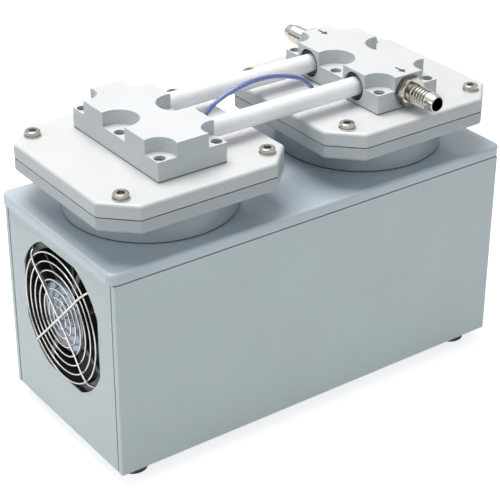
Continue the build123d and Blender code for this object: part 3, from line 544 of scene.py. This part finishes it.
def run_tree(name, tree, mesh, values):
    """Run a tree on a mesh with its named inputs set, and keep the result as a plain mesh."""
    piece = add_object(name, mesh)
    modifier = piece.modifiers.new(name, "NODES")
    modifier.node_group = tree
    for item in tree.interface.items_tree:
        if item.in_out == "INPUT" and item.name in values:
            modifier[item.identifier] = values[item.name]
    piece.update_tag()
    bpy.context.view_layer.update()
    return settle(piece)


def repeat_tree():
    inputs = [("Pattern", "Object"), ("Most turn", "Float"), ("Seed", "Int"), ("Finish", "Material")]
    tree, given, out = new_tree("repeat_on_points", inputs)
    pattern = put(tree, "GeometryNodeObjectInfo", {"Object": given["Pattern"]}).outputs["Geometry"]
    turn = put(tree, "FunctionNodeRandomValue", {"Seed": given["Seed"]})
    tree.links.new(given["Most turn"], turn.inputs[3])
    euler = put(tree, "ShaderNodeCombineXYZ", {"Z": turn.outputs[1]}).outputs[0]
    points = put(tree, "GeometryNodeMeshToPoints", {"Mesh": given["Geometry"]}).outputs[0]
    copies = put(tree, "GeometryNodeInstanceOnPoints", {"Points": points, "Instance": pattern})
    tree.links.new(euler, copies.inputs["Rotation"])
    return close_tree(tree, copies.outputs[0], given["Finish"], out)


repeat = repeat_tree()


def point_mesh(name, points):
    mesh = bpy.data.meshes.new(name)
    mesh.from_pydata([tuple(p) for p in points], [], [])
    return mesh


def repeated(node_name, pattern, points, turn=pi / 3, seed=3):
    """Pattern pieces on points, standing for one CAD node."""
    values = {"Pattern": pattern, "Most turn": turn, "Seed": seed, "Finish": finishes[slot_of[node_name]]}
    piece = run_tree(node_name + "_detailed", repeat, point_mesh(node_name, points), values)
    bpy.data.objects.remove(pattern)
    stand_for(piece, node_name)
    print(node_name, "copies:", len(points), "faces:", len(piece.data.polygons))


# %% [markdown]
# ## Head screws, washers and block screws
# Each octagonal head is held by socket screws on bright washers, and each block by smaller screws at the
# bottom of its pockets. A socket head has a knurled rim, a chamfer and a hexagon recess with a drilled
# bottom. The places come from the CAD boxes of the same nodes.

# %% Socket screws and washers
def places(node_name, height):
    """Middles of the separate round pieces of a node, from its merged mesh, at one height."""
    work = merged(node_name)
    left = set(work.verts)
    found = []
    while left:
        group = grow(left.pop(), left)
        xs = [v.co.x for v in group]
        ys = [v.co.y for v in group]
        found.append(Vector(((min(xs) + max(xs)) / 2, (min(ys) + max(ys)) / 2, height)))
    work.free()
    return sorted(found, key=lambda p: (round(p.x, 4), round(p.y, 4)))


def grow(first, left):
    """All vertices joined to the first one; they are taken out of the set that is left."""
    group = {first}
    edge = [first]
    while edge:
        vertex = edge.pop()
        for link in vertex.link_edges:
            other = link.other_vert(vertex)
            if other in left:
                left.discard(other)
                group.add(other)
                edge.append(other)
    return group


def screw_pattern(name, head_r, head_h, shank_r, shank_l, socket, depth):
    """A socket screw with its head's underside at height 0."""
    recess = hexagon(socket)
    stations = [
        (0, -shank_l), (shank_r, -shank_l), (shank_r, 0), (head_r - 0.25, 0),
        (knurl(head_r, 0.16, 36), 0.35), (knurl(head_r, 0.16, 36), head_h - 0.65),
        (head_r - 0.3, head_h - 0.4), (head_r - 0.65, head_h - 0.08), (head_r - 0.95, head_h),
        (lambda turn: recess(turn) + 0.22, head_h), (recess, head_h - 0.2), (recess, head_h - depth),
        (0, head_h - depth - 0.9),
    ]
    return lathe(name, stations, 144)


def washer_pattern(outer, inner, thick):
    stations = [
        (outer - 0.12, 0), (outer, 0.12), (outer, thick - 0.3), (outer - 0.3, thick), (inner + 0.15, thick),
        (inner, thick - 0.15), (inner, 0),
    ]
    return lathe("washer", stations, 72, closed=True)


washer_low, washer_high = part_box("head_washers")
washer_thick = (washer_high.z - washer_low.z) / mm
screw_low, screw_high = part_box("head_screws")
m8_head = 3.7
screw_seat = screw_high.z - m8_head * mm
shank = (screw_seat - screw_low.z) / mm
washer = washer_pattern(7.1, 4.1, washer_thick)
repeated("head_washers", washer, places("head_washers", washer_low.z), 0.0)
m8 = screw_pattern("m8", 6.3, m8_head, 4.0, shank, 6.0, 2.4)
repeated("head_screws", m8, places("head_screws", screw_seat), seed=5)

block_low, block_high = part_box("manifold_screws")
m5_head = 5.0
block_seat = block_high.z - m5_head * mm
block_shank = (block_seat - block_low.z) / mm
m5 = screw_pattern("m5", 4.3, m5_head, 2.5, block_shank, 4.0, 2.5)
repeated("manifold_screws", m5, places("manifold_screws", block_seat), seed=11)

# %% [markdown]
# ## Hose nozzles
# The two nozzles are nickel-plated brass, turned from hexagon bar. Behind the hexagon is a narrow neck,
# then a plain land, then ridges like the barbs of a fish hook that let a hose on and not off, and a tapered
# tip. A lathe is the honest way to make one. Its outline follows the CAD solid's, with each ridge's lip
# rounded, and the pocketed block keeps the thread hidden.

# %% Nozzles
bore_r = 5.8
thread_r = 8.2
thread_length = 12.0
across_flats = 23.0
hexagon_foot = 1.0
neck_r = 7.6
barb_r = 8.4
hexagon_top = 9.0
barb_foot = 11.0
land = 3.0
ridges = 5
ridge_pitch = 3.2
ridge_taper = 0.04
tip_r = 6.7
tip_length = 8.0
nozzle_reach = barb_foot + land + ridges * ridge_pitch + tip_length


def nozzle_stations():
    """The thread, the hexagon with its trimmed corners, the neck and the plain land."""
    hexa = hexagon(across_flats)
    corner = across_flats / sqrt(3)
    foot = hexagon_foot
    stations = [(bore_r, -thread_length), (thread_r, -thread_length)]
    stations += [(thread_r, foot - 0.01), (corner - 2.1, foot)]
    stations += [(trimmed(hexa, corner - 1.1), foot + 0.05), (trimmed(hexa, corner), foot + 0.9)]
    stations.append((trimmed(hexa, corner), hexagon_top - 0.9))
    stations.append((trimmed(hexa, corner - 1.1), hexagon_top - 0.05))
    stations += [(neck_r + 0.3, hexagon_top), (neck_r, hexagon_top + 0.3), (neck_r, barb_foot - 0.1)]
    stations += [(barb_r - 0.25, barb_foot), (barb_r, barb_foot + 0.25), (barb_r, barb_foot + land)]
    return stations + ridge_stations() + tip_stations()


def ridge_stations():
    """Grooves with rounded lips, cut into the barb's upper half."""
    stations = []
    for i in range(ridges):
        foot = barb_foot + land + i * ridge_pitch
        crest = barb_r - (i + 1) * ridge_taper
        stations += [(crest - 0.6, foot + 0.1), (crest - 0.6, foot + 0.7), (crest - 0.14, foot + 2.1)]
        stations += [(crest, foot + 2.4), (crest, foot + 3.0), (crest - 0.12, foot + 3.18)]
    return stations


def tip_stations():
    foot = nozzle_reach - tip_length
    stations = [(barb_r - ridges * ridge_taper - 0.2, foot + 0.2), (tip_r + 0.1, nozzle_reach - 0.6)]
    stations += [(tip_r - 0.15, nozzle_reach - 0.12), (tip_r - 0.35, nozzle_reach)]
    return stations + [(bore_r + 0.2, nozzle_reach), (bore_r, nozzle_reach - 0.25)]


def trimmed(shape, limit):
    """A shape's radius, cut back to a round limit as a chamfered nut's corners are."""
    return lambda turn: min(shape(turn), limit)


def nozzle(node_name, way):
    """Way is 1 for a nozzle that points to the rear and -1 for one that points to the front."""
    piece = lathe(node_name + "_turned", nozzle_stations(), 144, closed=True, angle=radians(35))
    low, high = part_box(node_name)
    seat = (low.y if way < 0 else high.y) - way * nozzle_reach * mm
    middle = (low + high) / 2
    turn = Matrix.Rotation(radians(-90 * way), 4, "X")
    piece.data.transform(Matrix.Translation((middle.x, seat, middle.z)) @ turn)
    stand_for(piece, node_name)
    print(node_name, "seat y, mm:", round(seat / mm, 2))


nozzle("hose_nozzle_front", -1)
nozzle("hose_nozzle_rear", 1)

# %% [markdown]
# ## Flow arrows
# The right block carries the two nozzles, and a printed arrow beside each shows which way the gas goes: in
# at the rear and out at the front. Ink has hardly any thickness, so each arrow is a flat shape a tenth of a
# millimetre high, which keeps it a real mesh and lets it leave with the model.

# %% Flow arrows
ink = moulded("marking_ink", (0.028, 0.026, 0.030), 0.55, dust=0.0)
arrow_outline = [(-0.9, 6.0), (-0.9, -1.0), (-3.6, -1.0), (0, -6.5), (3.6, -1.0), (0.9, -1.0), (0.9, 6.0)]
ink_height = 0.1 * mm
arrow_places = (-0.052, 0.052)


def arrow(work, x, y, z):
    """A flat arrow that points to the front, with its underside on the plane z."""
    rows = []
    for height in (z, z + ink_height):
        rows.append([work.verts.new((x + u * mm, y + v * mm, height)) for u, v in arrow_outline])
    lower, upper = rows
    work.faces.new(upper)
    work.faces.new(lower[::-1])
    for i in range(len(lower)):
        j = (i + 1) % len(lower)
        work.faces.new((lower[i], lower[j], upper[j], upper[i]))


def flow_arrows():
    low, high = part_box("manifold_right")
    middle = (low + high) / 2
    work = bmesh.new()
    for y in arrow_places:
        arrow(work, middle.x, y, high.z)
    bmesh.ops.recalc_face_normals(work, faces=work.faces)
    mesh = as_mesh(work, "flow_arrows")
    mesh.materials.append(ink)
    piece = add_object("flow_arrows", mesh)
    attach(piece, nodes["manifold_right"]["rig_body"])
    print("arrow faces:", len(mesh.polygons))


flow_arrows()

# %% [markdown]
# ## The wire finger guard
# The fan's guard is seven rings of bright wire, welded behind two stays that cross from corner to corner.
# The rings follow a simple rule, one radius and one pitch, so a short tree draws them: a circle is put on
# one point once for each ring, scaled by its number, made real and then given a round section.

# %% Guard rings
def ring_tree():
    inputs = [
        ("Rings", "Int"), ("Outer radius", "Float"), ("Pitch", "Float"), ("Wire radius", "Float"),
        ("Place", "Vector"), ("Finish", "Material"),
    ]
    tree, given, out = new_tree("concentric_rings", inputs)
    points = put(tree, "GeometryNodePoints", {"Count": given["Rings"]}).outputs[0]
    number = put(tree, "GeometryNodeInputIndex").outputs[0]
    step = product(tree, number, given["Pitch"])
    inset = put(tree, "ShaderNodeMath", {0: given["Outer radius"], 1: step}, operation="SUBTRACT")
    radius = inset.outputs[0]
    scale = put(tree, "ShaderNodeCombineXYZ", {"X": radius, "Y": radius, "Z": radius}).outputs[0]
    circle = put(tree, "GeometryNodeCurvePrimitiveCircle", {"Resolution": 128, "Radius": 1.0}).outputs[0]
    rings = put(tree, "GeometryNodeInstanceOnPoints", {"Points": points, "Instance": circle, "Scale": scale})
    real = put(tree, "GeometryNodeRealizeInstances", {"Geometry": rings.outputs[0]}).outputs[0]
    section = put(tree, "GeometryNodeCurvePrimitiveCircle", {"Resolution": 12})
    tree.links.new(given["Wire radius"], section.inputs["Radius"])
    wire = put(tree, "GeometryNodeCurveToMesh", {"Curve": real, "Profile Curve": section.outputs[0]})
    smooth = put(tree, "GeometryNodeSetShadeSmooth", {"Geometry": wire.outputs[0]}).outputs[0]
    upright = put(tree, "GeometryNodeTransform", {"Geometry": smooth, "Translation": given["Place"]})
    upright.inputs["Rotation"].default_value = (0, pi / 2, 0)
    return close_tree(tree, upright.outputs[0], given["Finish"], out)


guard_low, guard_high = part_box("fan_guard")
guard_middle = (guard_low + guard_high) / 2
stay_r = 0.95 * mm
wire_r = 0.7 * mm
stay_x = guard_low.x + stay_r
ring_x = stay_x + stay_r + wire_r - 0.25 * mm
ring_values = {
    "Rings": 7, "Outer radius": 55.4 * mm, "Pitch": 7.64 * mm, "Wire radius": wire_r,
    "Place": (ring_x, 0.0, guard_middle.z), "Finish": finishes["guard_wire"],
}
guard = run_tree("guard_rings", ring_tree(), point_mesh("guard_seed", [(0, 0, 0)]), ring_values)
stand_for(guard, "fan_guard")
print("guard faces:", len(guard.data.polygons), "ring plane x, mm:", round(ring_x / mm, 2))

# %% [markdown]
# ## The guard's stays
# Each stay is one straight wire in front of the rings. Outside them it is cranked back through the opening
# and ends in an eye under the panel, on the fan's own screws. A bezier curve with a round bevel bends like
# real wire.

# %% Guard stays
stud_pitch = 105.0 * mm
stud_reach = stud_pitch / 2 * sqrt(2)
eye_r = 4.2 * mm
stay_back = guard_high.x - stay_r
wire_angle = radians(50)


def wire_curve(name, points, radius, cyclic=False):
    data = bpy.data.curves.new(name, "CURVE")
    data.dimensions = "3D"
    data.bevel_depth = radius
    data.bevel_resolution = 5
    data.resolution_u = 10
    data.use_fill_caps = not cyclic
    spline = data.splines.new("BEZIER")
    spline.bezier_points.add(len(points) - 1)
    for knot, point in zip(spline.bezier_points, points):
        knot.co = point
        knot.handle_left_type = "AUTO"
        knot.handle_right_type = "AUTO"
    spline.use_cyclic_u = cyclic
    return add_object(name, data)


def stay(name, turn):
    """One stay through the hub's axis, turned about it, as (x, distance from the axis) knots."""
    back = stay_back
    end = stud_reach - eye_r
    route = [
        (back, -end), (back, -66.0 * mm), (back, -62.6 * mm), (stay_x + 1.2 * mm, -58.2 * mm),
        (stay_x, -54.5 * mm), (stay_x, -30 * mm), (stay_x, 0), (stay_x, 30 * mm), (stay_x, 54.5 * mm),
        (stay_x + 1.2 * mm, 58.2 * mm), (back, 62.6 * mm), (back, 66.0 * mm), (back, end),
    ]
    points = [(x, -v * sin(turn), guard_middle.z + v * cos(turn)) for x, v in route]
    return wire_curve(name, points, stay_r)


def stay_eye(name, turn):
    """The ring at a stay's end, round one of the fan's studs."""
    radius = eye_r - stay_r
    y = -stud_reach * sin(turn)
    z = guard_middle.z + stud_reach * cos(turn)
    quarters = (0, pi / 2, pi, 1.5 * pi)
    corners = [(stay_back, y + radius * cos(a), z + radius * sin(a)) for a in quarters]
    return wire_curve(name, corners, stay_r, cyclic=True)


def join_as_mesh(name, pieces):
    """Several curves or meshes made one plain mesh, each where it is."""
    work = bmesh.new()
    graph = bpy.context.evaluated_depsgraph_get()
    for piece in pieces:
        mesh = bpy.data.meshes.new_from_object(piece.evaluated_get(graph))
        work.from_mesh(mesh)
        bpy.data.objects.remove(piece)
    mesh = as_mesh(work, name)
    smooth_by_angle(mesh, wire_angle)
    return add_object(name, mesh)


wires = [stay("stay_a", pi / 4), stay("stay_b", -pi / 4)]
wires += [stay_eye(f"eye_{i}", pi / 4 + i * pi / 2) for i in range(4)]
stays = join_as_mesh("guard_stays", wires)
wear_finish(stays, "guard_wire")
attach(stays, "root")
print("stays faces:", len(stays.data.polygons))

# %% [markdown]
# ## The balance hose
# A thin blue hose joins the two heads in a low arch. It is short, 130 mm, and stiff for its width, so it
# stands up between its two fittings. Its line is one NURBS spline on the route's points, and the spline's
# order is set after the points are added.

# %% Balance hose
hose_route = [
    (-0.0576, 0, 0.2515), (-0.0530, 0, 0.2579), (-0.0415, 0, 0.2676), (-0.0140, 0, 0.2758),
    (0.0140, 0, 0.2758), (0.0415, 0, 0.2676), (0.0530, 0, 0.2579), (0.0576, 0, 0.2515),
]
hose_diameter = 4.0 * mm


def hose_curve():
    data = bpy.data.curves.new("hose", "CURVE")
    data.dimensions = "3D"
    data.bevel_depth = hose_diameter / 2
    data.bevel_resolution = 6
    data.resolution_u = 16
    data.use_fill_caps = True
    spline = data.splines.new("NURBS")
    spline.points.add(len(hose_route) - 1)
    for knot, point in zip(spline.points, hose_route):
        knot.co = (*point, 1)
    spline.order_u = 3
    spline.use_endpoint_u = True
    return add_object("hose", data)


hose = hose_curve()
stand_for(hose, "balance_hose")

# %% [markdown]
# ## Floor and world
# The set is a plain white floor under a white sky. The camera sees the sky white. A shiny surface sees it
# white overhead and dark near the horizon, which gives bright metal its contrast, and every surface gets a
# soft, bluish light from it.

# %% Floor and world
floor_grey = (0.60, 0.60, 0.60, 1)
floor_glow = 0.75
floor_half = 4.0
sky_blue = (0.86, 0.94, 1.0, 1)
white = (1, 1, 1, 1)


def either(tree, kinds):
    """1 for a ray of one of the named kinds, otherwise 0."""
    path = put(tree, "ShaderNodeLightPath").outputs
    seen = path[kinds[0]]
    for kind in kinds[1:]:
        seen = put(tree, "ShaderNodeMath", {0: seen, 1: path[kind]}, operation="MAXIMUM").outputs[0]
    return seen


def floor_material():
    material = bpy.data.materials.new("floor")
    material.use_nodes = True
    tree = material.node_tree
    shader = tree.nodes["Principled BSDF"]
    shader.inputs["Base Color"].default_value = floor_grey
    shader.inputs["Roughness"].default_value = 0.9
    shader.inputs["Specular IOR Level"].default_value = 0.1
    glow = put(tree, "ShaderNodeEmission", {"Color": white, "Strength": floor_glow}).outputs[0]
    lit = put(tree, "ShaderNodeAddShader", {0: shader.outputs[0], 1: glow}).outputs[0]
    seen = either(tree, ("Is Camera Ray", "Is Glossy Ray"))
    mix = put(tree, "ShaderNodeMixShader", {0: seen, 1: shader.outputs[0], 2: lit})
    tree.links.new(mix.outputs[0], tree.nodes["Material Output"].inputs["Surface"])
    return material


def floor():
    half = floor_half
    mesh = bpy.data.meshes.new("floor")
    corners = [(-half, -half, 0), (half, -half, 0), (half, half, 0), (-half, half, 0)]
    mesh.from_pydata(corners, [], [(0, 1, 2, 3)])
    piece = add_object("floor", mesh)
    mesh.materials.append(floor_material())


def sky():
    world = bpy.data.worlds.new("sky")
    bpy.context.scene.world = world
    world.use_nodes = True
    tree = world.node_tree
    soft = put(tree, "ShaderNodeBackground", {"Color": sky_blue, "Strength": 0.30})
    plain = put(tree, "ShaderNodeBackground", {"Color": white, "Strength": 1.0})
    studio = put(tree, "ShaderNodeBackground", {"Color": white, "Strength": studio_light(tree)})
    shiny = either(tree, ("Is Glossy Ray",))
    mix = put(tree, "ShaderNodeMixShader", {0: shiny, 1: soft.outputs[0], 2: studio.outputs[0]})
    seen = either(tree, ("Is Camera Ray", "Is Transmission Ray"))
    mix = put(tree, "ShaderNodeMixShader", {0: seen, 1: mix.outputs[0], 2: plain.outputs[0]})
    tree.links.new(mix.outputs[0], tree.nodes["World Output"].inputs["Surface"])


def studio_light(tree):
    """What a shiny surface sees: white overhead and to the rear, dark near the horizon."""
    way = put(tree, "ShaderNodeTexCoord").outputs["Generated"]
    slope = put(tree, "ShaderNodeVectorMath", {0: way, 1: (0.0, 0.35, 0.9)}, operation="DOT_PRODUCT")
    return span(tree, slope.outputs["Value"], 0.08, 1.0, 0.10, 0.52)


floor()
sky()
print("floor side, m:", 2 * floor_half)

# %% [markdown]
# ## Lights
# A large soft lamp above and behind lights the heads' tops, and two weaker ones fill the casing's two
# visible sides. They are weak enough for the pale tops to stay under pure white.

# %% Lights
def soft_lamp(name, place, target, size, power, colour):
    data = bpy.data.lights.new(name, "AREA")
    data.shape = "DISK"
    data.size = size
    data.energy = power
    data.color = colour
    lamp = add_object(name, data)
    lamp.location = place
    lamp.rotation_euler = (Vector(place) - Vector(target)).to_track_quat("Z", "Y").to_euler()
    return lamp


aim = (0, 0, 0.2)
lamp_size = 1.4
warm = (1.0, 0.985, 0.96)
cool = (0.97, 0.99, 1.0)
lamps = [
    soft_lamp("top", (-0.1, 0.45, 1.9), aim, lamp_size, 31.0, warm),
    soft_lamp("left_fill", (-2.2, -0.4, 0.9), aim, lamp_size, 12.5, cool),
    soft_lamp("front_fill", (0.7, -2.3, 0.9), aim, lamp_size, 9.3, cool),
]
bpy.context.scene.view_settings.view_transform = "Standard"
print("lamps:", len(lamps))
